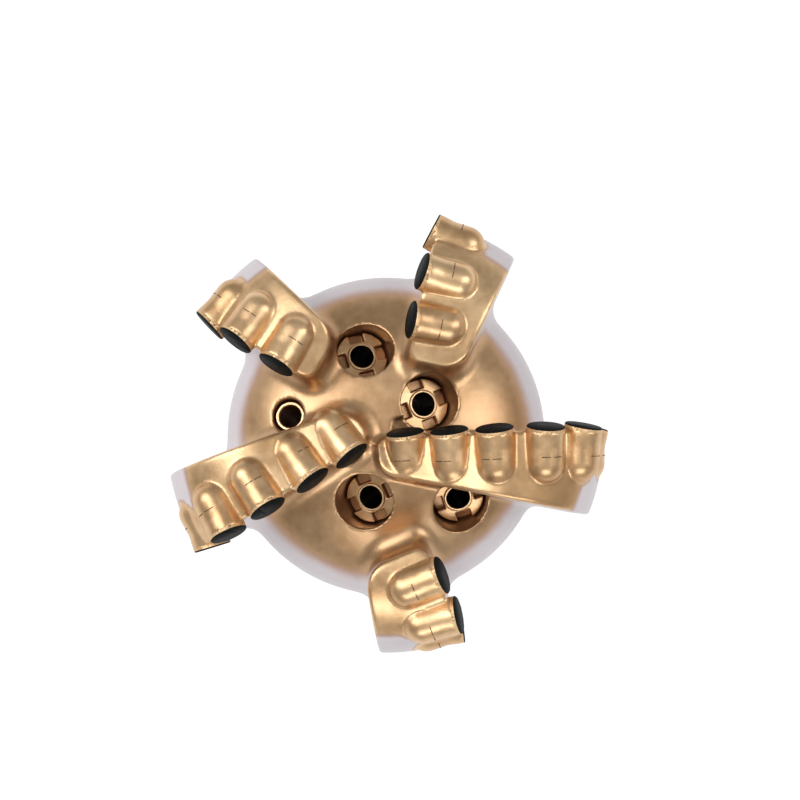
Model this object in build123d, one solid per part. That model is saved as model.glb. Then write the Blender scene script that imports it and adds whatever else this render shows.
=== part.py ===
from build123d import *
from collections import namedtuple
import math
import os

# Five-blade fixed-cutter drill bit, standing on its pin with the cutting face up.
# The axis is Z and the origin is the centre of the pin's end face. Sizes in mm.

# Overall
gauge_diameter = 190.5
pin_length = 107.95
shank_length = 74.0
crown_length = 133.0

# Threaded pin and shank
pin_base_diameter = 117.475
pin_taper = 0.25
pin_relief_length = 15.9
pin_relief_depth = 1.2
pin_end_chamfer = 4.0
pin_bore_chamfer = 2.0
shank_diameter = 139.7
shoulder_chamfer = 2.2
fluid_bore_diameter = 57.15
breaker_slot_height = 46.0
breaker_slot_offset = 12.0
breaker_flat_distance = 116.0
breaker_corner_radius = 4.0

# Joint between shank and crown
spigot_diameter = 96.0
spigot_length = 18.0
spigot_chamfer = 2.0
spigot_clearance = 0.1
weld_groove_depth = 6.0
weld_crown_height = 1.4

# Crown envelope
cone_angle = 20.0
nose_radius = 40.0
nose_distance = 56.0
nose_end_angle = 38.0
pad_relief = 1.8
blade_edge_radius = 1.5
gauge_length = 51.0
heel_angle = 42.0

# Crown core
core_diameter = 141.0
seam_azimuth = 28.0
floor_top_drop = 22.0
floor_flat_radius = 14.0
floor_dome_radius = 70.0
floor_dome_angle = 35.0

# Blades: azimuth, lead of the cutter line, inner end, width at the axis, corner and root radii
blades = {
    "a": (148.5, 0.7, 37.0, 15.5, 12.0, 8.0),
    "b": (77.5, -0.7, 31.0, 18.8, 11.0, 8.0),
    "d": (292.3, 0.0, 50.0, 18.0, 12.0, 8.0),
    "e": (212.6, 1.9, 6.5, 14.6, 11.0, 8.0),
    "c": (2.0, -0.3, -3.5, 18.5, 9.0, 2.5),
}
blade_spread_angle = 12.8
front_setback = 2.0
front_corner_radius = 5.0

# Cutters: distances from the axis of the inner ones, and tilt and drop of the gauge ones
cutter_diameter = 15.88
cutter_length = 13.2
table_thickness = 2.0
table_chamfer = 0.45
substrate_chamfer = 0.4
back_rake = 15.5
cutter_rise = 0.6
braze_gap = 0.1
groove_width = 1.0
groove_lift = 2.2
pocket_lead = 4.0
inner_cutters = {
    "a": (51.9, 71.6),
    "b": (47.1, 67.5),
    "c": (8.8, 27.1, 45.5, 66.4, 82.5),
    "d": (63.6, 81.5),
    "e": (17.2, 36.0, 57.2, 76.6),
}
gauge_cutters = {
    "a": (70.0, 2.0),
    "b": (80.0, 0.0),
    "c": (90.0, 8.0),
    "d": (90.0, 6.5),
    "e": (90.0, 4.0),
}

# Nozzles: distance, azimuth, tilt and direction of tilt, turn of the lugs
nozzles = {
    "ab": (34.3, 106.8, 18.0, 56.0, 5.0),
    "bc": (20.4, 37.0, 18.0, 10.0, -33.0),
    "cd": (41.7, 318.7, 24.0, 286.0, 48.0),
    "de": (28.0, 257.8, 22.0, 216.0, 33.0),
}
nozzle_recess = 10.0
nozzle_reach = 30.0
nozzle_pocket_clearance = 0.9
nozzle_seat_step = 4.0
sleeve_diameter = 22.0
sleeve_length = 20.0
sleeve_clearance = 0.1
lug_slot_width = 6.5
lug_slot_depth = 3.2
hub_wall = 0.5
orifice_bore = 10.0
orifice_wall = 1.0
orifice_flange = 1.6
orifice_flange_height = 5.0
orifice_clearance = 0.05
orifice_stand = 0.4
seal_section = 2.0
seal_height = 9.0
seal_groove_width = 2.6

# Plain port: distance, azimuth, tilt and direction of tilt
port = (41.1, 170.0, 12.0, 150.0)
port_recess = 4.0
port_pocket_clearance = 1.0
port_bore = 9.8
port_wall = 1.4
port_sleeve_length = 16.0
port_clearance = 0.05

# Fluid chamber in the crown
chamber_top_drop = 76.0
chamber_corner_radius = 10.0
passage_clearance = 1.5

crown_base = pin_length + shank_length
nose_height = crown_base + crown_length
gauge_radius = gauge_diameter / 2
pad_radius = gauge_radius - pad_relief
cutter_radius = cutter_diameter / 2
core_radius = core_diameter / 2
shank_radius = shank_diameter / 2
bore_radius = fluid_bore_diameter / 2
hub_diameter = orifice_bore + 2 * (orifice_wall + hub_wall)
port_sleeve_diameter = port_bore + 2 * port_wall

Profile = namedtuple("Profile", "top distance radius cone_angle end_angle edge")
blade_profile = Profile(
    nose_height, nose_distance, nose_radius, cone_angle, nose_end_angle, pad_radius
)
cutter_profile = blade_profile._replace(edge=gauge_radius - cutter_radius - cutter_rise)
floor_profile = Profile(
    nose_height - floor_top_drop, floor_flat_radius, floor_dome_radius, 0, floor_dome_angle, core_radius
)


def polar(distance, azimuth, height=0.0):
    """Point at a distance and azimuth about the axis."""
    turn = math.radians(azimuth)
    return Vector(distance * math.cos(turn), distance * math.sin(turn), height)


def profile_point(profile, tilt):
    """Radius and height where a profile leans outward by the tilt."""
    lean = math.radians(tilt)
    end = math.radians(profile.end_angle)
    if tilt <= profile.end_angle:
        radius = profile.distance + profile.radius * math.sin(lean)
        return radius, profile.top - profile.radius * (1 - math.cos(lean))
    radius, height = profile_point(profile, profile.end_angle)
    shoulder = (profile.edge - radius) / (1 - math.sin(end))
    radius += shoulder * (math.sin(lean) - math.sin(end))
    return radius, height - shoulder * (math.cos(end) - math.cos(lean))


def profile_at(profile, radius):
    """Height and tilt of a profile at a distance from the axis."""
    start_radius, start_height = profile_point(profile, -profile.cone_angle)
    end_radius, _ = profile_point(profile, profile.end_angle)
    if radius < start_radius:
        drop = (start_radius - radius) * math.tan(math.radians(profile.cone_angle))
        return start_height - drop, -profile.cone_angle
    if radius < end_radius:
        tilt = math.degrees(math.asin((radius - profile.distance) / profile.radius))
        return profile_point(profile, tilt)[1], tilt
    end = math.sin(math.radians(profile.end_angle))
    shoulder = (profile.edge - end_radius) / (1 - end)
    tilt = math.degrees(math.asin(end + (radius - end_radius) / shoulder))
    return profile_point(profile, tilt)[1], tilt


def profile_vertex(profile, tilt):
    """Profile point in the XZ plane."""
    radius, height = profile_point(profile, tilt)
    return (radius, 0, height)


def profile_arcs(profile):
    """The two arcs of a profile, from its cone to where it runs vertical."""
    angles = (-profile.cone_angle, profile.end_angle, 90)
    arcs = []
    for start, end in zip(angles, angles[1:]):
        points = [profile_vertex(profile, tilt) for tilt in (start, (start + end) / 2, end)]
        arcs.append(ThreePointArc(*points))
    return arcs


def blade_envelope():
    """Solid of revolution that bounds every blade."""
    centre = (0, 0, profile_at(blade_profile, 0)[0])
    pad_top = profile_vertex(blade_profile, 90)
    pad_bottom = (pad_radius, 0, pad_top[2] - gauge_length)
    heel_drop = (pad_radius - core_radius) / math.tan(math.radians(heel_angle))
    heel_end = (core_radius, 0, pad_bottom[2] - heel_drop)
    outline = [
        Line(centre, profile_vertex(blade_profile, -cone_angle)),
        *profile_arcs(blade_profile),
        Polyline(pad_top, pad_bottom, heel_end, (0, 0, heel_end[2]), centre),
    ]
    return Rot(0, 0, seam_azimuth) * revolve(make_face(outline), Axis.Z)


def crown_core():
    """Domed centre of the crown, down to the groove of the shank weld."""
    rim = profile_vertex(floor_profile, 90)
    outline = [
        Line((0, 0, floor_profile.top), profile_vertex(floor_profile, 0)),
        *profile_arcs(floor_profile),
        Polyline(
            rim,
            (core_radius, 0, crown_base + 2 * weld_groove_depth),
            (shank_radius, 0, crown_base + weld_groove_depth),
            (shank_radius - weld_groove_depth, 0, crown_base),
            (0, 0, crown_base),
            (0, 0, floor_profile.top),
        ),
    ]
    return Rot(0, 0, seam_azimuth) * revolve(make_face(outline), Axis.Z)


def blade(azimuth, lead, inner_end, root_width, corner_radius):
    """Straight-fronted blade that widens outward, before it is trimmed to the envelope."""
    reach = gauge_radius + 10
    spread = math.tan(math.radians(blade_spread_angle))
    front = lead - front_setback
    points = [
        (inner_end, front),
        (reach, front),
        (reach, -root_width - spread * reach),
        (inner_end, -root_width - spread * inner_end),
    ]
    outline = make_face(Polyline(*points, close=True))
    outline = fillet(outline.vertices().sort_by_distance(points[3])[0], corner_radius)
    outline = fillet(outline.vertices().sort_by_distance(points[0])[0], front_corner_radius)
    foot = crown_base + 2 * weld_groove_depth
    solid = extrude(outline, nose_height - foot)
    return Location((0, 0, foot), (0, 0, azimuth)) * solid


def on_blade_top(point):
    """Whether a point lies on the profile that a blade's crest and pad follow."""
    radius = math.hypot(point.X, point.Y)
    top_radius, top_height = profile_point(blade_profile, 90)
    if abs(radius - top_radius) < 0.01:
        return top_height - gauge_length - 0.01 < point.Z < top_height + 0.01
    return radius < top_radius and abs(point.Z - profile_at(blade_profile, radius)[0]) < 0.01


def is_hoop(points):
    """Whether points run round the axis at one height and radius."""
    heights = [point.Z for point in points]
    radii = [math.hypot(point.X, point.Y) for point in points]
    return max(heights) - min(heights) < 0.01 and max(radii) - min(radii) < 0.01


def edge_points(edge):
    """Five points along an edge."""
    return [edge.position_at(step / 4) for step in range(5)]


def soften_blade(solid):
    """Round the edges round a blade's crest and pad."""
    rims = []
    for edge in solid.edges():
        points = edge_points(edge)
        if all(on_blade_top(point) for point in points) and not is_hoop(points):
            rims.append(edge)
    return solid.fillet(blade_edge_radius, rims)


def on_core(point):
    """Whether a point lies on the core's floor or its side."""
    radius = math.hypot(point.X, point.Y)
    side_top = profile_point(floor_profile, 90)[1]
    if abs(radius - core_radius) < 0.01:
        return crown_base + 2 * weld_groove_depth + 1 < point.Z < side_top + 0.01
    return radius < core_radius and abs(point.Z - profile_at(floor_profile, radius)[0]) < 0.01


def add_blade(body, envelope, sizes):
    """Join a blade to the body and round the line where it rises from the core."""
    *plan, root_radius = sizes
    joined = body + soften_blade(blade(*plan) & envelope)
    old_centres = [edge.position_at(0.5) for edge in body.edges()]
    roots = []
    for edge in joined.edges():
        points = edge_points(edge)
        old = any((points[2] - centre).length < 0.01 for centre in old_centres)
        if not is_hoop(points) and not old and all(on_core(point) for point in points):
            roots.append(edge)
    return joined.fillet(root_radius, roots)


def cutter_plane(name, radius, tilt, height):
    """Plane of a cutter's front face: Z looks forward, Y looks out of the blade."""
    azimuth, lead = blades[name][:2]
    forward = polar(1, azimuth + 90)
    outward = polar(1, azimuth)
    lean = math.radians(tilt)
    normal = outward * math.sin(lean) + Vector(0, 0, 1) * math.cos(lean)
    rake = math.radians(back_rake)
    axis = forward * math.cos(rake) + normal * math.sin(rake)
    reach = math.sqrt(radius**2 - lead**2)
    centre = outward * reach + forward * lead + Vector(0, 0, height)
    centre += normal * cutter_rise
    side = axis.cross(normal)
    return Plane(origin=centre, x_dir=side, z_dir=axis)


def cutter_planes():
    """Every cutter's plane, from the inner end of each blade outward."""
    planes = {}
    for name in blades:
        stations = []
        for radius in inner_cutters[name]:
            height, tilt = profile_at(cutter_profile, radius)
            stations.append((radius, tilt, height))
        tilt, drop = gauge_cutters[name]
        radius, height = profile_point(cutter_profile, tilt)
        stations.append((radius, tilt, height - drop))
        for number, station in enumerate(stations, 1):
            planes[f"{name}_{number}"] = cutter_plane(name, *station)
    return planes


def ball(radius, depth, pole_tilt):
    """Ball behind a cutter, turned so that its poles lie off the finished surface."""
    return Pos(0, 0, -depth) * Rot(pole_tilt, 0, 0) * Sphere(radius)


def groove_tool(radius, depth):
    """Ball-ended cutter that clears a groove round a cutter and the bump behind it."""
    bar = Rot(0, 0, 90) * bore(2 * radius, pocket_lead, -depth)
    return Pos(0, groove_lift, 0) * (bar + ball(radius, depth, 45))


def nozzle_plane(distance, azimuth, tilt, direction, recess):
    """Plane of a nozzle's top face, sunk below the floor and tilted."""
    centre = polar(distance, azimuth, profile_at(floor_profile, distance)[0] - recess)
    lean = math.radians(tilt)
    axis = polar(math.sin(lean), direction, math.cos(lean))
    side = polar(1, direction + 90)
    return Plane(origin=centre, x_dir=side, z_dir=axis)


def bore(diameter, top, bottom):
    """Cylinder along Z between two heights."""
    base = Pos(0, 0, bottom)
    return base * Cylinder(diameter / 2, top - bottom, align=(Align.CENTER, Align.CENTER, Align.MIN))


def crown(planes, nozzle_planes, port_plane):
    """One-piece crown with its blades, pockets, ports and fluid chamber."""
    envelope = blade_envelope()
    body = crown_core()
    for sizes in blades.values():
        body = add_blade(body, envelope, sizes)
    seat = cutter_length + braze_gap
    groove = groove_tool(cutter_radius + groove_width, seat)
    bump = ball(cutter_radius, seat, -45)
    pocket = Rot(0, 0, 90) * bore(cutter_diameter + 2 * braze_gap, pocket_lead, -seat)
    for plane in planes.values():
        body -= plane * groove
    for plane in planes.values():
        body += plane * bump
    for plane in planes.values():
        body -= plane * pocket
    passage_length = chamber_top_drop - floor_top_drop
    passage_diameter = orifice_bore + 2 * passage_clearance
    nozzle_pocket = sleeve_diameter + 2 * nozzle_pocket_clearance
    sleeve_bore = sleeve_diameter + 2 * sleeve_clearance
    port_pocket = port_sleeve_diameter + 2 * port_pocket_clearance
    for plane in nozzle_planes.values():
        body -= plane * bore(nozzle_pocket, nozzle_reach, -nozzle_seat_step)
        body -= plane * bore(sleeve_bore, 0, -sleeve_length)
        body -= plane * bore(passage_diameter, 0, -passage_length)
    body -= port_plane * bore(port_pocket, nozzle_reach, -nozzle_seat_step)
    body -= port_plane * bore(port_sleeve_diameter + 2 * port_clearance, 0, -port_sleeve_length)
    body -= port_plane * bore(port_bore, 0, -passage_length)
    chamber = bore(fluid_bore_diameter, nose_height - chamber_top_drop, crown_base)
    body -= fillet(chamber.edges().group_by(Axis.Z)[-1], chamber_corner_radius)
    socket_top = crown_base + spigot_length + spigot_clearance
    body -= bore(spigot_diameter + 2 * spigot_clearance, socket_top, crown_base)
    return body


def shank():
    """Tapered pin, make-up shoulder, breaker slots and spigot, bored through."""
    pin_base = pin_base_diameter / 2
    pin_end = pin_base - pin_taper * pin_length / 2
    relief_height = pin_length - pin_relief_length
    relief_top = pin_base - pin_taper * pin_relief_length / 2
    relief_radius = relief_top - pin_relief_depth
    spigot_radius = spigot_diameter / 2
    spigot_top = crown_base + spigot_length
    points = [
        (0, 0, 0),
        (pin_end - pin_end_chamfer, 0, 0),
        (pin_end + pin_end_chamfer * pin_taper / 2, 0, pin_end_chamfer),
        (relief_top, 0, relief_height),
        (relief_radius, 0, relief_height + pin_relief_depth),
        (relief_radius, 0, pin_length),
        (shank_radius - shoulder_chamfer, 0, pin_length),
        (shank_radius, 0, pin_length + shoulder_chamfer),
        (shank_radius, 0, crown_base - weld_groove_depth),
        (shank_radius - weld_groove_depth, 0, crown_base),
        (spigot_radius, 0, crown_base),
        (spigot_radius, 0, spigot_top - spigot_chamfer),
        (spigot_radius - spigot_chamfer, 0, spigot_top),
        (0, 0, spigot_top),
    ]
    solid = revolve(make_face(Polyline(*points, close=True)), Axis.Z)
    solid -= bore(fluid_bore_diameter, spigot_top, 0)
    mouth = bore_radius + pin_bore_chamfer
    solid -= Cone(mouth, bore_radius, pin_bore_chamfer, align=(Align.CENTER, Align.CENTER, Align.MIN))
    slot = Box(shank_radius, shank_diameter, breaker_slot_height, align=(Align.MIN, Align.CENTER, Align.MIN))
    slot = fillet(slot.faces().sort_by(Axis.X)[0].edges().filter_by(Axis.Y), breaker_corner_radius)
    slot = Pos(breaker_flat_distance / 2, 0, pin_length + breaker_slot_offset) * slot
    return solid - slot - Rot(0, 0, 180) * slot


def shank_weld():
    """Ring of weld metal that fills the groove between shank and crown."""
    upper = (shank_radius, 0, crown_base + weld_groove_depth)
    lower = (shank_radius, 0, crown_base - weld_groove_depth)
    root = (shank_radius - weld_groove_depth, 0, crown_base)
    cap = (shank_radius + weld_crown_height, 0, crown_base)
    outline = [Polyline(lower, root, upper), ThreePointArc(upper, cap, lower)]
    return Rot(0, 0, seam_azimuth) * revolve(make_face(outline), Axis.Z)


def cutter_substrate():
    """Carbide cylinder behind the diamond table."""
    solid = bore(cutter_diameter, -table_thickness, -cutter_length)
    return chamfer(solid.edges().group_by(Axis.Z)[0], substrate_chamfer)


def cutter_table():
    """Diamond table with its bevelled cutting edge."""
    solid = bore(cutter_diameter, 0, -table_thickness)
    return chamfer(solid.edges().group_by(Axis.Z)[-1], table_chamfer)


def nozzle_sleeve(turn):
    """Screw-in sleeve with four wrench lugs, a seal groove and a seat for the orifice."""
    orifice_radius = orifice_bore / 2 + orifice_wall + orifice_clearance
    flange_top = orifice_flange_height - sleeve_length
    solid = bore(sleeve_diameter, 0, -sleeve_length)
    solid -= bore(2 * orifice_radius, 0, -sleeve_length)
    solid -= bore(2 * (orifice_radius + orifice_flange), flange_top, -sleeve_length)
    slot = Box(sleeve_diameter, lug_slot_width, lug_slot_depth, align=(Align.MIN, Align.CENTER, Align.MAX))
    for quarter in range(4):
        solid -= Rot(0, 0, turn + 45 + 90 * quarter) * Pos(hub_diameter / 2, 0, 0) * slot
    groove_middle = seal_height - sleeve_length
    groove_bottom = sleeve_diameter / 2 + sleeve_clearance - seal_section
    groove = bore(
        sleeve_diameter + 1,
        groove_middle + seal_groove_width / 2,
        groove_middle - seal_groove_width / 2,
    )
    return solid - (groove - bore(2 * groove_bottom, 0, -sleeve_length))


def nozzle_orifice():
    """Carbide tube that stands a little proud of the sleeve and rests on its flange."""
    radius = orifice_bore / 2 + orifice_wall
    solid = bore(2 * radius, orifice_stand, -sleeve_length)
    flange_top = orifice_flange_height - orifice_clearance - sleeve_length
    solid += bore(2 * (radius + orifice_flange), flange_top, -sleeve_length)
    return solid - bore(orifice_bore, orifice_stand, -sleeve_length)


def nozzle_seal():
    """O-ring between the sleeve and its port."""
    ring_radius = sleeve_diameter / 2 + sleeve_clearance - seal_section / 2
    return Pos(0, 0, seal_height - sleeve_length) * Torus(ring_radius, seal_section / 2)


def port_sleeve():
    """Plain tube of the fixed port."""
    tube = bore(port_sleeve_diameter, 0, -port_sleeve_length)
    return tube - bore(port_bore, 0, -port_sleeve_length)


def export(solid, node):
    """Write one piece to its own file."""
    solid.label = node
    export_step(solid, f"parts/{node}.step")


os.makedirs("parts", exist_ok=True)
cutters = cutter_planes()
nozzle_planes = {name: nozzle_plane(*sizes[:4], nozzle_recess) for name, sizes in nozzles.items()}
port_plane = nozzle_plane(*port, port_recess)
export(crown(cutters, nozzle_planes, port_plane), "bit_body")
export(shank(), "shank")
export(shank_weld(), "shank_weld")
for name, plane in cutters.items():
    export(plane * cutter_substrate(), f"cutter_{name}_substrate")
    export(plane * cutter_table(), f"cutter_{name}_table")
for name, plane in nozzle_planes.items():
    export(plane * nozzle_sleeve(nozzles[name][4]), f"nozzle_{name}_sleeve")
    export(plane * nozzle_orifice(), f"nozzle_{name}_orifice")
    export(plane * nozzle_seal(), f"nozzle_{name}_seal")
export(port_plane * port_sleeve(), "port_ea_sleeve")
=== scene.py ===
import math
import random

import bpy
import numpy as np
from mathutils import Matrix, Vector


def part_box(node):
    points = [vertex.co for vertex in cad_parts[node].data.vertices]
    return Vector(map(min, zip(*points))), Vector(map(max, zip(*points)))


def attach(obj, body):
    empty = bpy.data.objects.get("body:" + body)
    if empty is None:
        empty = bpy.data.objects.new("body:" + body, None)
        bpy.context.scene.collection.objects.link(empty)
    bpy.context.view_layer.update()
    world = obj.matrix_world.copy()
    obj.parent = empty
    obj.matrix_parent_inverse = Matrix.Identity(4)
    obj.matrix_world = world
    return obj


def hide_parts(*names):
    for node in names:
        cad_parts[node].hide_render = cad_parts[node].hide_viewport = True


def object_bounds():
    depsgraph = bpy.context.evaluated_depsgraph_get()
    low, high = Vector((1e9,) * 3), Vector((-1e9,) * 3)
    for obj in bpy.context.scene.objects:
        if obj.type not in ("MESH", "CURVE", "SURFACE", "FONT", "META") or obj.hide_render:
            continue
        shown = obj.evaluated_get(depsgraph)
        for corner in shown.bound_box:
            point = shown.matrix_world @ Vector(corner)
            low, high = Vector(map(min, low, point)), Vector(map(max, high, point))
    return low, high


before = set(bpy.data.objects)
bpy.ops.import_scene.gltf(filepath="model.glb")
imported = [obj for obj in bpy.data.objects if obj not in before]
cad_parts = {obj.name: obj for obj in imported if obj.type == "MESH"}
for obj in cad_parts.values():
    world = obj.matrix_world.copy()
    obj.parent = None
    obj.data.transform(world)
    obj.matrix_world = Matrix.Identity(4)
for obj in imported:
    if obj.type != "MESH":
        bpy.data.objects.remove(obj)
cad_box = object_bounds()
bpy.ops.object.select_all(action="DESELECT")

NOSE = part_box("bit_body")[1].z


# ---------------------------------------------------------------- shader maths

class Term:
    """A shader socket that ordinary arithmetic can be written on."""

    def __init__(self, graph, socket):
        self.graph = graph
        self.socket = socket

    def _math(self, operation, first, second):
        return self.graph.node("ShaderNodeMath", {"operation": operation}, {0: first, 1: second})

    def __add__(self, other):
        return self._math("ADD", self, other)

    __radd__ = __add__

    def __sub__(self, other):
        return self._math("SUBTRACT", self, other)

    def __rsub__(self, other):
        return self._math("SUBTRACT", other, self)

    def __mul__(self, other):
        return self._math("MULTIPLY", self, other)

    __rmul__ = __mul__


class Finish:
    """One material, built as a graph round a Principled shader."""

    def __init__(self, name, **constants):
        self.material = bpy.data.materials.new(name)
        self.material.use_nodes = True
        self.tree = self.material.node_tree
        self.shader = self.tree.nodes["Principled BSDF"]
        for socket, value in constants.items():
            self.shader.inputs[socket.replace("_", " ")].default_value = value

    def node(self, kind, settings, sockets, output=0):
        """Add a node: its settings first, then values or links for its sockets."""
        node = self.tree.nodes.new(kind)
        for key, value in settings.items():
            setattr(node, key, value)
        for key, value in sockets.items():
            self.feed(node.inputs[key], value)
        return Term(self, node.outputs[output])

    def feed(self, socket, value):
        if isinstance(value, Term):
            self.tree.links.new(value.socket, socket)
        elif isinstance(value, tuple):
            socket.default_value = (*value, 1)
        else:
            socket.default_value = value

    def attribute(self, name):
        return self.node("ShaderNodeAttribute", {"attribute_name": name}, {}, output="Fac")

    def noise(self, scale, detail=2.0):
        place = self.node("ShaderNodeTexCoord", {}, {}, output="Object")
        sockets = {"Vector": place, "Scale": scale, "Detail": detail}
        return self.node("ShaderNodeTexNoise", {}, sockets)

    def between(self, value, low, high):
        """0 below low, 1 above high, and smooth between."""
        sockets = {"Value": value, "From Min": low, "From Max": high}
        return self.node("ShaderNodeMapRange", {"interpolation_type": "SMOOTHSTEP"}, sockets)

    def blend(self, factor, first, second):
        """One colour where the factor is 0, the other where it is 1."""
        sockets = {0: factor, 6: first, 7: second}
        return self.node("ShaderNodeMix", {"data_type": "RGBA"}, sockets, output=2)

    def bump(self, height, strength, distance):
        sockets = {"Strength": strength, "Distance": distance, "Height": height}
        self.set(Normal=self.node("ShaderNodeBump", {}, sockets))

    def set(self, **inputs):
        for key, value in inputs.items():
            self.feed(self.shader.inputs[key.replace("_", " ")], value)


# ---------------------------------------------------------------- finishes

GOLD = (0.80, 0.55, 0.31)
BRONZE = (0.58, 0.35, 0.17)
# painted shade: the brown that hollows, pockets and slots are darkened to
SHADE = (0.34, 0.18, 0.09)
ROSE = (0.50, 0.31, 0.23)
SILVER = (0.68, 0.62, 0.64)
BLACK = (0.004, 0.005, 0.005)
CHARCOAL = (0.012, 0.013, 0.013)
# carbide down a nozzle's bore, near-black as painted shade
DARK_BORE = (0.015, 0.011, 0.008)


def gold_paint(name):
    """Gold spray paint that turns rose, then pale silver, where its pale attribute rises, and
    darkens with painted shade where the attribute depth rises.
    """
    paint = Finish(name, Coat_Weight=0.2, Coat_Roughness=0.15)
    cloud = paint.noise(26.0, 4.0)
    fine = paint.noise(260.0, 3.0)
    paleness = paint.attribute("paleness") + (cloud - 0.5) * 0.5 + (fine - 0.5) * 0.12
    depth = paint.attribute("depth") + (cloud - 0.5) * 0.35
    gold = paint.blend(paint.between(cloud * 0.75 + fine * 0.25, 0.36, 0.64), BRONZE, GOLD)
    # painted shade: where depth rises the gold turns towards the SHADE brown
    shaded = paint.between(depth, 0.1, 1.0) * 0.45 + paint.between(depth, 1.1, 1.9) * 0.4
    gold = paint.blend(shaded, gold, SHADE)
    # where the pale attribute rises the gold turns rose, then pale silver, less metallic and
    # rougher
    colour = paint.blend(paint.between(paleness, 0.15, 0.55), gold, ROSE)
    colour = paint.blend(paint.between(paleness, 0.35, 0.85), colour, SILVER)
    thin = paint.between(paleness, 0.2, 0.8)
    paint.set(Base_Color=colour, Metallic=0.9 - 0.75 * thin)
    paint.set(Roughness=0.31 + 0.12 * fine + 0.1 * thin)
    speckle = paint.noise(1100.0) * 0.35
    paint.bump(fine * 0.45 + speckle + paint.noise(90.0), 0.22, 0.0005)
    return paint.material


def plain(name, colour, **constants):
    """An even finish with slight mottling and a fine grain."""
    finish = Finish(name, **constants)
    shade = tuple(0.75 * part for part in colour)
    finish.set(Base_Color=finish.blend(finish.noise(60.0, 3.0), shade, colour))
    finish.bump(finish.noise(500.0), 0.15, 0.0003)
    return finish.material


def diamond_face(name):
    """Lapped black diamond, with gold paint on the side of the table."""
    finish = Finish(name, Specular_IOR_Level=0.04)
    black = finish.between(finish.attribute("black"), 0.86, 0.93)
    grain = finish.noise(320.0, 3.0)
    lapped = finish.blend(grain, BLACK, CHARCOAL)
    finish.set(Base_Color=finish.blend(black, GOLD, lapped))
    finish.set(Metallic=0.9 * (1 - black), Roughness=0.46 + 0.12 * grain)
    finish.bump(grain, 0.08, 0.0002)
    return finish.material


def hub_paint(name):
    """Gold on the rim of an orifice; down its bore carbide painted near-black as painted shade.
    """
    paint = Finish(name, Metallic=0.9, Roughness=0.38)
    inside = paint.between(paint.attribute("bore"), 0.25, 0.75)
    paint.set(Base_Color=paint.blend(inside, GOLD, DARK_BORE))
    paint.bump(paint.noise(700.0), 0.15, 0.0003)
    return paint.material


crown_gold = gold_paint("crown gold paint")
silver_paint = plain("pale silver paint", SILVER, Metallic=0.2, Roughness=0.42)
diamond = diamond_face("black diamond")
hub_finish = hub_paint("nozzle hub paint")
rubber = plain("nitrile rubber", (0.02, 0.02, 0.02), Roughness=0.6)
seam_shade = plain("open braze seam", (0.09, 0.045, 0.02), Roughness=0.7)


# ---------------------------------------------------------------- painted skins

# azimuth of each blade, in degrees
BLADE_AZIMUTH = {"a": 148.5, "b": 77.5, "c": 2.0, "d": 292.3, "e": 212.6}

# lean and direction of each nozzle, in degrees
NOZZLE_LEAN = {
    "nozzle_ab": (18, 56),
    "nozzle_bc": (18, 10),
    "nozzle_cd": (24, 286),
    "nozzle_de": (22, 216),
    "port_ea": (12, 150),
}

# measures of the painted skin, in metres
MERGE = 0.00001
PAINT = 0.00012
FACE_SETBACK = 0.0013
TAIL_LAP = 0.005
TAIL_BACK = 0.0030
SHORT_TAIL_BACK = {"c_1": 0.0006}
TAIL_LIFT = 0.0003
GAUGE_TAIL_LIFT = 0.0006
POCKET_CLEARANCE = 0.0009
CROWN_VOXEL = 0.0007
CROWN_TRIANGLES = 190000
CREST_FLAT = 0.056
ROOT_LEVELS = 10
ROOT_ROUNDS = 160

# the seam behind each carbide: its thread, and its place between lap and tail
SEAM_THICKNESS = 0.00017
SEAM_STAND = 0.00006
SEAM_SHARE = 0.55

# how deep the shade in a nozzle's pocket counts, in the attribute "depth"
PIT_SHADE = 2.2


class Cutter:
    """Where one cutter sits: the centre of its face, its axis and its rear end."""

    def __init__(self, name):
        self.name = name
        table = [vertex.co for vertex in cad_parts[f"cutter_{name}_table"].data.vertices]
        base = [vertex.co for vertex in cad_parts[f"cutter_{name}_substrate"].data.vertices]
        middle = sum(base, Vector()) / len(base)
        self.axis = (sum(table, Vector()) / len(table) - middle).normalized()
        ahead = [(point - middle).dot(self.axis) for point in table]
        behind = [(point - middle).dot(self.axis) for point in base]
        self.face = middle + self.axis * max(ahead)
        self.rear = middle + self.axis * min(behind)
        self.radius = max((point - middle).cross(self.axis).length for point in base)
        turn = math.radians(BLADE_AZIMUTH[name[0]] + 90)
        self.forward = Vector((math.cos(turn), math.sin(turn), 0))
        self.normal = (self.axis - self.forward * self.axis.dot(self.forward)).normalized()


cutters = [Cutter(name[7:-6]) for name in sorted(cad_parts) if name.endswith("_table")]


def choose(*objects):
    """Select these objects alone, with the first one active."""
    bpy.ops.object.select_all(action="DESELECT")
    for item in objects:
        item.select_set(True)
    bpy.context.view_layer.objects.active = objects[0]


def adopt(name, objects):
    """Join objects into one piece of that name."""
    choose(*objects)
    if len(objects) > 1:
        bpy.ops.object.join()
    piece = bpy.context.object
    bpy.ops.object.transform_apply(location=True, rotation=True, scale=True)
    piece.name = name
    return piece


def copy_of(node):
    """A merged copy of a CAD node, free to be worked on."""
    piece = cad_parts[node].copy()
    piece.data = piece.data.copy()
    for key in list(piece.keys()):
        del piece[key]
    piece.parent = None
    bpy.context.scene.collection.objects.link(piece)
    choose(piece)
    bpy.ops.object.mode_set(mode="EDIT")
    bpy.ops.mesh.select_all(action="SELECT")
    bpy.ops.mesh.remove_doubles(threshold=MERGE)
    bpy.ops.object.mode_set(mode="OBJECT")
    return piece


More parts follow.
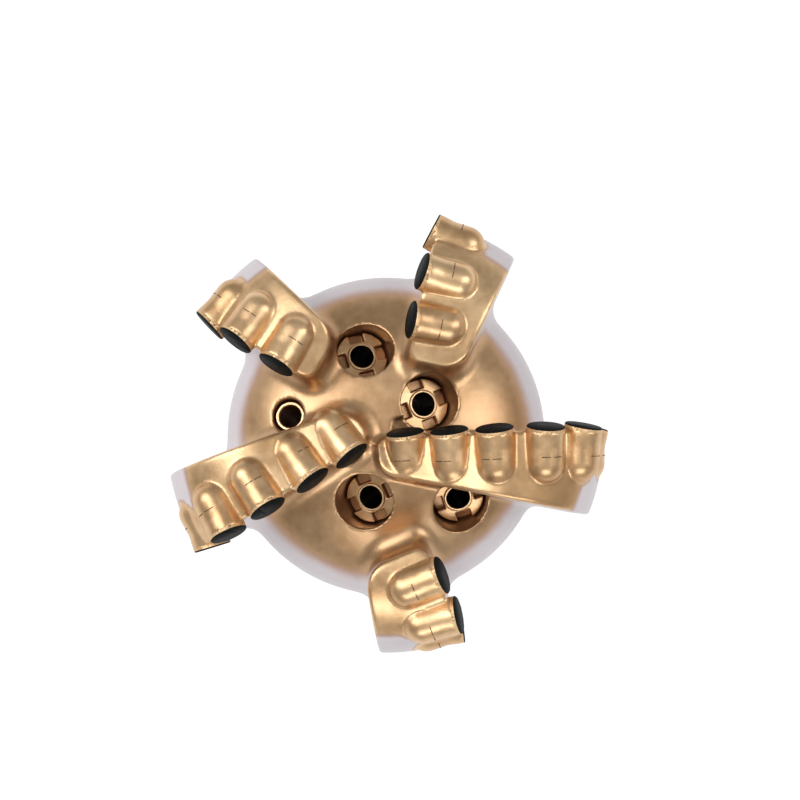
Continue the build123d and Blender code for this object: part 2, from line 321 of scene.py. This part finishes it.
def face_outwards(piece):
    choose(piece)
    bpy.ops.object.mode_set(mode="EDIT")
    bpy.ops.mesh.select_all(action="SELECT")
    bpy.ops.mesh.normals_make_consistent(inside=False)
    bpy.ops.object.mode_set(mode="OBJECT")


def turn_along(direction):
    """The turn that brings the Z axis onto a direction."""
    return direction.to_track_quat("Z", "Y").to_euler()


def rod(start, end, radius):
    """Round bar between two points."""
    span = end - start
    bpy.ops.mesh.primitive_cylinder_add(
        vertices=64,
        radius=radius,
        depth=span.length,
        location=(start + end) / 2,
        rotation=turn_along(span),
    )
    return bpy.context.object


def ball(centre, radius):
    bpy.ops.mesh.primitive_uv_sphere_add(
        segments=48, ring_count=24, radius=radius, location=centre
    )
    return bpy.context.object


def modify(piece, kind, **settings):
    bpy.context.view_layer.objects.active = piece
    modifier = piece.modifiers.new(kind.lower(), kind)
    for key, value in settings.items():
        setattr(modifier, key, value)
    bpy.ops.object.modifier_apply(modifier=modifier.name)


def thin_out(piece, triangles):
    """Bring a dense skin down to a number of triangles."""
    modify(piece, "TRIANGULATE")
    if len(piece.data.polygons) > triangles:
        modify(piece, "DECIMATE", ratio=triangles / len(piece.data.polygons))
    bpy.ops.object.shade_smooth()


def skin(name, node, voxel, triangles):
    """A soft painted surface over one CAD node."""
    piece = adopt(name, [copy_of(node)])
    modify(piece, "REMESH", mode="VOXEL", voxel_size=voxel)
    modify(piece, "SMOOTH", factor=0.5, iterations=2)
    thin_out(piece, triangles)
    return piece


def smooth(value, low, high):
    """0 below low, 1 above high, and smooth between."""
    ramp = np.clip((value - low) / (high - low), 0, 1)
    return ramp * ramp * (3 - 2 * ramp)


def surface_of(piece):
    """The piece's vertices and normals as arrays."""
    count = len(piece.data.vertices)
    points = np.empty(count * 3)
    normals = np.empty(count * 3)
    piece.data.vertices.foreach_get("co", points)
    piece.data.vertices.foreach_get("normal", normals)
    return points.reshape(-1, 3), normals.reshape(-1, 3)


def move_to(piece, points):
    piece.data.vertices.foreach_set("co", points.ravel())
    piece.data.update()


def off_axis(points, middle, axis):
    """The part of each point's offset from the middle that lies square to an axis."""
    away = points - middle
    return away - np.outer(away @ axis, axis)


def store(piece, name, values):
    layer = piece.data.attributes.new(name, "FLOAT", "POINT")
    layer.data.foreach_set("value", values.astype(np.float32))


def rod_distance(points, start, end):
    """Distance of every point from the line between two ends."""
    start, end = np.array(start), np.array(end)
    along = end - start
    share = np.clip((points - start) @ along / (along @ along), 0, 1)
    return np.linalg.norm(points - start - share[:, None] * along, axis=1)


def tail_of(cutter):
    """Centre of the round end of the bump behind a cutter."""
    lift = TAIL_LIFT + GAUGE_TAIL_LIFT * (1 - cutter.normal.z) ** 2
    back = SHORT_TAIL_BACK.get(cutter.name, TAIL_BACK)
    return cutter.rear - cutter.forward * back + cutter.normal * lift


def crest_height(radius):
    """How high the blades' crests stand at a distance from the axis."""
    over = np.clip(radius - CREST_FLAT, 0, None)
    return NOSE - 0.0004 * (over / 0.01) ** 2.85


def soften_roots(piece):
    """Sweep the blades' outer roots into the body in a wide curve."""
    points, _ = surface_of(piece)
    radius = np.hypot(points[:, 0], points[:, 1])
    depth = crest_height(radius) - points[:, 2]
    weight = smooth(radius, 0.060, 0.069) * (1 - smooth(radius, 0.081, 0.088))
    weight *= smooth(depth, 0.012, 0.026) * smooth(points[:, 2], 0.198, 0.206)
    moved = np.nonzero(weight > 0)[0]
    for cutter in cutters:
        near = rod_distance(points[moved], tail_of(cutter), cutter.face)
        weight[moved] *= smooth(near, cutter.radius + 0.0008, cutter.radius + 0.0040)
    group = piece.vertex_groups.new(name="roots")
    for level in range(1, ROOT_LEVELS + 1):
        chosen = np.nonzero(np.round(weight * ROOT_LEVELS) == level)[0]
        group.add(chosen.tolist(), level / ROOT_LEVELS, "REPLACE")
    modify(piece, "SMOOTH", factor=0.5, iterations=ROOT_ROUNDS, vertex_group="roots")


def nozzle_axis(name):
    tilt, direction = [math.radians(angle) for angle in NOZZLE_LEAN[name]]
    across = math.sin(tilt)
    return np.array((across * math.cos(direction), across * math.sin(direction), math.cos(tilt)))


def nozzle_seats():
    """Each nozzle's middle, axis and the radius of the pocket round it."""
    seats = []
    for name in NOZZLE_LEAN:
        axis = nozzle_axis(name)
        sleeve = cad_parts[name + "_sleeve"].data
        points = np.array([vertex.co for vertex in sleeve.vertices])
        middle = (points.max(0) + points.min(0)) / 2
        reach = np.linalg.norm(off_axis(points, middle, axis), axis=1).max()
        seats.append((middle, axis, reach + POCKET_CLEARANCE))
    return seats


def crown_shade_and_paleness(piece):
    """Where the gold turns pale, and the painted shade: darker the deeper a point lies below the
    crests, darkest in the nozzles' pockets.
    """
    points, normals = surface_of(piece)
    radius = np.hypot(points[:, 0], points[:, 1])
    depth = crest_height(radius) - points[:, 2]
    facing = normals[:, 2]
    near = np.full(len(points), 1.0)
    beside = np.full(len(points), 1.0)
    for cutter in cutters:
        near = np.minimum(near, rod_distance(points, tail_of(cutter), cutter.face))
        beside = np.minimum(beside, rod_distance(points, cutter.rear, cutter.face))
    girth = cutters[0].radius
    bullet = 1 - smooth(near, girth + 0.0004, girth + 0.0022)
    web = 1 - smooth(beside, girth + 0.0030, girth + 0.0048)
    bullet = np.maximum(bullet, web * smooth(radius, 0.078, 0.082))
    # paler on the outer crests, on steep walls that face sideways, on the deep outer floor and
    # low down, but never on the cutters' bullets
    crest = smooth(radius, 0.0815, 0.0880)
    wall = smooth(radius, 0.042, 0.066) * smooth(depth, 0.004, 0.020)
    wall *= 1 - smooth(facing, 0.15, 0.55)
    floor = smooth(radius, 0.055, 0.0685) * smooth(depth, 0.008, 0.020)
    paleness = np.maximum(np.maximum(crest, wall), floor) * (1 - bullet)
    paleness = np.maximum(paleness, smooth(-points[:, 2], -NOSE + 0.060, -NOSE + 0.085))
    store(piece, "paleness", paleness)
    # painted shade in each nozzle's pocket, on the walls that do not face along its axis
    pit = np.zeros(len(points))
    for middle, axis, reach in nozzle_seats():
        distance = np.linalg.norm(off_axis(points, middle, axis), axis=1)
        inside = 1 - smooth(distance, reach - 0.0002, reach + 0.0010)
        pit = np.maximum(pit, inside * (1 - smooth(normals @ axis, 0.5, 0.9)))
    # painted shade, darker the deeper below the crests and none on the bullets; depth holds it
    # with the pockets' painted shade
    shade = smooth(depth, 0.002, 0.034) * (1 - bullet)
    store(piece, "depth", np.maximum(shade, PIT_SHADE * pit))


def keep_inside(piece):
    """Hold the skin within the CAD's own box."""
    points, _ = surface_of(piece)
    low, high = [np.array(corner) for corner in cad_box]
    move_to(piece, np.clip(points, low, high))


def painted_crown():
    """One skin over the body, the cutters' barrels and the bumps behind them."""
    shapes = [copy_of("bit_body")]
    for cutter in cutters:
        radius = cutter.radius + PAINT
        tail = tail_of(cutter)
        shapes.append(rod(cutter.rear, cutter.face - cutter.axis * FACE_SETBACK, radius))
        shapes.append(ball(cutter.rear, radius))
        shapes.append(rod(tail, cutter.rear + cutter.axis * TAIL_LAP, radius))
        shapes.append(ball(tail, radius))
    piece = adopt("crown_paint_skin", shapes)
    modify(piece, "REMESH", mode="VOXEL", voxel_size=CROWN_VOXEL)
    soften_roots(piece)
    modify(piece, "SMOOTH", factor=0.5, iterations=5)
    thin_out(piece, CROWN_TRIANGLES)
    keep_inside(piece)
    crown_shade_and_paleness(piece)
    return piece


def seam_arc(centre, spot, along, hoop, span):
    """A thin thread laid part of the way round a cutter's barrel."""
    bpy.ops.mesh.primitive_circle_add(
        vertices=8,
        radius=SEAM_THICKNESS,
        fill_type="NGON",
        location=spot,
        rotation=turn_along(hoop),
    )
    bpy.ops.object.transform_apply(location=True, rotation=True)
    bpy.ops.object.mode_set(mode="EDIT")
    bpy.ops.mesh.select_all(action="SELECT")
    bpy.ops.mesh.spin(steps=14, angle=math.radians(span), center=centre, axis=-along)
    bpy.ops.object.mode_set(mode="OBJECT")
    return bpy.context.object


def braze_seams():
    """Thin broken dark lines where each carbide ends under the paint."""
    chance = random.Random(7)
    arcs = []
    for cutter in cutters:
        ahead = cutter.rear + cutter.axis * TAIL_LAP
        back = tail_of(cutter) - ahead
        along = -back.normalized()
        side = along.cross(cutter.normal).normalized()
        over = side.cross(along).normalized()
        centre = ahead + back * SEAM_SHARE
        start = chance.uniform(-48, -15)
        for span in (chance.uniform(18, 34), chance.uniform(14, 30)):
            turn = math.radians(start)
            spoke = over * math.cos(turn) + side * math.sin(turn)
            hoop = over * math.sin(turn) - side * math.cos(turn)
            spot = centre + spoke * (cutter.radius + PAINT + SEAM_STAND)
            arcs.append(seam_arc(centre, spot, along, hoop, span))
            start += span + chance.uniform(4, 12)
    piece = adopt("braze_seams", arcs)
    face_outwards(piece)
    bpy.ops.object.shade_smooth()
    return piece


def finish_piece(piece, material, slot, *nodes):
    """Paint a piece and set it on the body, in place of the CAD nodes named."""
    piece.data.materials.clear()
    piece.data.materials.append(material)
    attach(piece, "root")
    if nodes:
        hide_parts(*nodes)


def nozzle_piece(node, voxel, triangles):
    """A sleeve or orifice with softened edges, with painted shade down its bore and in its slots.
    """
    axis = nozzle_axis(node.rsplit("_", 1)[0])
    piece = skin(node + "_painted", node, voxel, triangles)
    points, normals = surface_of(piece)
    height = points @ axis
    away = off_axis(points, (points.max(0) + points.min(0)) / 2, axis)
    distance = np.linalg.norm(away, axis=1)
    inward = -np.sum(normals * away, axis=1) / np.maximum(distance, 1e-6)
    below = height.max() - height
    # painted shade: darker the further below the top, which darkens a sleeve's slots
    store(piece, "depth", 2.0 * smooth(below, 0.0004, 0.0030))
    # the bore: unpainted carbide inside, painted near-black as painted shade, and so is all that
    # lies deeper than the top
    bore = np.maximum(smooth(inward, 0.3, 0.7), smooth(below, 0.0012, 0.0020))
    store(piece, "bore", bore)
    store(piece, "paleness", np.zeros(len(points)))
    return piece


# the weld's half width, its ripples round the shank and their depth
WELD_REACH = 0.006
WELD_RIPPLES = 90
RIPPLE_DEPTH = 0.0006


def ripple_weld():
    """The shank weld with the ripples of its passes."""
    piece = skin("shank_weld_bead", "shank_weld", 0.0006, 60000)
    points, _ = surface_of(piece)
    radius = np.hypot(points[:, 0], points[:, 1])
    azimuth = np.arctan2(points[:, 1], points[:, 0])
    middle = np.mean([corner.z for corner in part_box("shank_weld")])
    across = (points[:, 2] - middle) / WELD_REACH
    wave = np.abs(np.sin(WELD_RIPPLES * azimuth + 1.6 * across ** 2))
    outer = smooth(radius, 0.0690, 0.0700)
    scale = 1 - outer * RIPPLE_DEPTH * wave / radius
    points[:, :2] *= scale[:, None]
    move_to(piece, points)
    return piece


# measures of the shank, in metres
PIN_LENGTH = 0.10795
PIN_BASE = 0.0587375
PIN_SLOPE = 0.125
RELIEF = 0.0159
PIN_RISE = PIN_LENGTH - RELIEF
PIN_ROWS = 270
RELIEF_DEPTH = 0.0012
SHANK_TOP = 0.18195
SHANK_RADIUS = 0.06985
SHOULDER_EDGE = 0.0024
WELD_CHAMFER = 0.006
SPIGOT_RADIUS = 0.048
SPIGOT_LENGTH = 0.018
EDGE = 0.002
BORE_RADIUS = 0.028575
THREAD_PITCH = 0.00508
THREAD_DEPTH = 0.0029
THREAD_MOUTH = 0.00204
THREAD_FLANK = 0.00172
TURNS = 160
SLOT_PLACE = (0.078, 0, 0.14295)
SLOT_SIZE = (0.040, 0.160, 0.046)


def shank_outline():
    """Half section of the shank: up the outside from the bore's mouth, and back down the bore."""
    end = PIN_BASE - PIN_SLOPE * PIN_LENGTH
    groove = PIN_BASE - PIN_SLOPE * RELIEF - RELIEF_DEPTH
    outline = [(BORE_RADIUS + EDGE, 0), (end - 0.004, 0)]
    for row in range(PIN_ROWS + 1):
        height = 0.004 + (PIN_RISE - 0.004) * row / PIN_ROWS
        outline.append((end + PIN_SLOPE * height, height))
    outline += [
        (groove, PIN_RISE + RELIEF_DEPTH),
        (groove, PIN_LENGTH - 0.0005),
        (groove + 0.0005, PIN_LENGTH),
        (SHANK_RADIUS - SHOULDER_EDGE, PIN_LENGTH),
        (SHANK_RADIUS - 0.0020, PIN_LENGTH + 0.0002),
        (SHANK_RADIUS - 0.0002, PIN_LENGTH + 0.0020),
        (SHANK_RADIUS, PIN_LENGTH + SHOULDER_EDGE),
        (SHANK_RADIUS, SHANK_TOP - WELD_CHAMFER),
        (SHANK_RADIUS - WELD_CHAMFER, SHANK_TOP),
        (SPIGOT_RADIUS, SHANK_TOP),
        (SPIGOT_RADIUS, SHANK_TOP + SPIGOT_LENGTH - EDGE),
        (SPIGOT_RADIUS - EDGE, SHANK_TOP + SPIGOT_LENGTH),
        (BORE_RADIUS, SHANK_TOP + SPIGOT_LENGTH),
        (BORE_RADIUS, EDGE),
    ]
    return outline


def turned_shank():
    """The shank as it comes from the lathe, before its thread."""
    outline = shank_outline()
    bpy.ops.object.select_all(action="DESELECT")
    bpy.ops.mesh.primitive_circle_add(vertices=len(outline), radius=0.01, fill_type="NOTHING")
    piece = bpy.context.object
    piece.name = "shank_threaded"
    for vertex, (radius, height) in zip(piece.data.vertices, outline):
        vertex.co = (radius, 0, height)
    modify(
        piece,
        "SCREW",
        angle=2 * math.pi,
        steps=TURNS,
        render_steps=TURNS,
        use_merge_vertices=True,
        merge_threshold=MERGE,
    )
    return piece


def cut_thread(piece):
    """A tapered V thread down the pin."""
    points, _ = surface_of(piece)
    height = points[:, 2]
    radius = np.hypot(points[:, 0], points[:, 1])
    turn = np.arctan2(points[:, 1], points[:, 0]) / (2 * math.pi)
    phase = np.mod(height / THREAD_PITCH - turn, 1.0)
    off_root = np.abs(phase - 0.5) * THREAD_PITCH
    depth = THREAD_DEPTH * np.clip((THREAD_MOUTH - off_root) / THREAD_FLANK, 0, 1)
    depth *= smooth(height, 0.0030, 0.0065) * (1 - smooth(height, PIN_RISE - 0.006, PIN_RISE))
    depth *= radius > 0.040
    points[:, :2] *= ((radius - depth) / radius)[:, None]
    move_to(piece, points)


def cut_breaker_slot(piece, side):
    bpy.ops.mesh.primitive_cube_add(
        size=1, location=(side * SLOT_PLACE[0], *SLOT_PLACE[1:]), scale=SLOT_SIZE
    )
    slot = bpy.context.object
    bpy.ops.object.transform_apply(location=True, rotation=True, scale=True)
    modify(slot, "BEVEL", width=0.004, segments=6, limit_method="ANGLE")
    modify(piece, "BOOLEAN", operation="DIFFERENCE", object=slot, solver="EXACT")
    bpy.data.objects.remove(slot)


def threaded_shank():
    """The whole shank: turned, threaded and slotted for the bit breaker."""
    piece = turned_shank()
    cut_thread(piece)
    for side in (1, -1):
        cut_breaker_slot(piece, side)
    face_outwards(piece)
    bpy.ops.object.shade_smooth_by_angle(angle=math.radians(28))
    return piece


# the face and this much of the table's side are bare diamond
BLACK_RIM = 0.0006


def cutter_face(cutter):
    """A diamond table, black on its face and bevel, with paint up its side."""
    node = f"cutter_{cutter.name}_table"
    piece = copy_of(node)
    piece.name = f"cutter_{cutter.name}_diamond"
    points, _ = surface_of(piece)
    back = (np.array(cutter.face) - points) @ np.array(cutter.axis)
    store(piece, "black", (back < BLACK_RIM).astype(float))
    bpy.ops.object.shade_smooth_by_angle(angle=math.radians(25))
    return piece


substrates = [f"cutter_{cutter.name}_substrate" for cutter in cutters]
finish_piece(painted_crown(), crown_gold, "crown_paint", "bit_body", *substrates)
finish_piece(braze_seams(), seam_shade, "crown_paint")
finish_piece(ripple_weld(), silver_paint, "weld_paint", "shank_weld")
finish_piece(threaded_shank(), silver_paint, "shank_paint", "shank")
for cutter in cutters:
    finish_piece(cutter_face(cutter), diamond, "diamond", f"cutter_{cutter.name}_table")
for node in sorted(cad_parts):
    if node.endswith("_sleeve"):
        finish_piece(nozzle_piece(node, 0.0003, 24000), crown_gold, "painted_sleeve", node)
    elif node.endswith("_orifice"):
        finish_piece(nozzle_piece(node, 0.00025, 16000), hub_finish, "nozzle_carbide", node)
for name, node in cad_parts.items():
    node.data.materials.clear()
    node.data.materials.append(rubber if name.endswith("_seal") else silver_paint)


# ---------------------------------------------------------------- studio

PAPER_GLOW = 1.12
GLOW_SHARE = 0.82
FLOOR_SIZE = 12.0
LAMP_TARGET = Vector((0, 0, 0.25))
WORLD_LIGHT = 0.35
LENS = 85.6
EYE = (0.0118, -0.0277, NOSE + 0.775)
LOOK = Vector((-0.0066, 0.0515, -1.0))

# each softbox's place, width and height, and power in watts
SOFTBOXES = {
    "softbox_left": ((-0.8, 0.35, 1.25), (0.7, 1.1), 10),
    "softbox_right": ((0.9, 0.2, 1.15), (0.5, 0.9), 5),
    "softbox_front": ((0.1, -1.0, 1.1), (0.9, 0.4), 5),
    "softbox_above": ((-0.22, 0.02, 1.5), (0.16, 0.5), 0.8),
}


def paper():
    """White paper that glows to the camera and to gloss, and keeps the object's shadow."""
    sheet = Finish("white studio paper", Base_Color=(0.9, 0.9, 0.9, 1), Roughness=0.9)
    glow = sheet.node("ShaderNodeEmission", {}, {"Strength": PAPER_GLOW})
    to_camera = sheet.node("ShaderNodeLightPath", {}, {}, output="Is Camera Ray")
    to_gloss = sheet.node("ShaderNodeLightPath", {}, {}, output="Is Glossy Ray")
    seen = sheet.node("ShaderNodeMath", {"operation": "MAXIMUM"}, {0: to_camera, 1: to_gloss})
    matt = Term(sheet, sheet.shader.outputs[0])
    mixed = sheet.node("ShaderNodeMixShader", {}, {0: GLOW_SHARE * seen, 1: matt, 2: glow})
    sheet.feed(sheet.tree.nodes["Material Output"].inputs["Surface"], mixed)
    return sheet.material


def studio():
    bpy.ops.mesh.primitive_plane_add(size=FLOOR_SIZE)
    floor = bpy.context.object
    floor.name = "studio_floor"
    floor.data.materials.append(paper())


def softbox(name, place, size, power):
    data = bpy.data.lights.new(name, "AREA")
    data.shape = "RECTANGLE"
    data.size, data.size_y = size
    data.energy = power
    lamp = bpy.data.objects.new(name, data)
    lamp.location = place
    lamp.rotation_euler = (LAMP_TARGET - Vector(place)).to_track_quat("-Z", "Y").to_euler()
    bpy.context.scene.collection.objects.link(lamp)


def camera():
    """Looks down on the bit with the Y axis up the picture."""
    data = bpy.data.cameras.new("camera")
    data.sensor_width = 36.0
    data.lens = LENS
    data.clip_start = 0.01
    eye = bpy.data.objects.new("camera", data)
    back = -LOOK.normalized()
    right = Vector((0, 1, 0)).cross(back).normalized()
    up = back.cross(right)
    eye.matrix_world = Matrix((right, up, back)).transposed().to_4x4()
    eye.location = EYE
    bpy.context.scene.collection.objects.link(eye)
    bpy.context.scene.camera = eye


def room():
    """The even white light that comes from all round."""
    world = bpy.data.worlds.new("studio")
    bpy.context.scene.world = world
    world.use_nodes = True
    backdrop = world.node_tree.nodes["Background"]
    backdrop.inputs["Color"].default_value = (1, 1, 1, 1)
    backdrop.inputs["Strength"].default_value = WORLD_LIGHT


studio()
camera()
room()
for name, (place, size, power) in SOFTBOXES.items():
    softbox(name, place, size, power)

bpy.context.scene.view_settings.view_transform = "Standard"
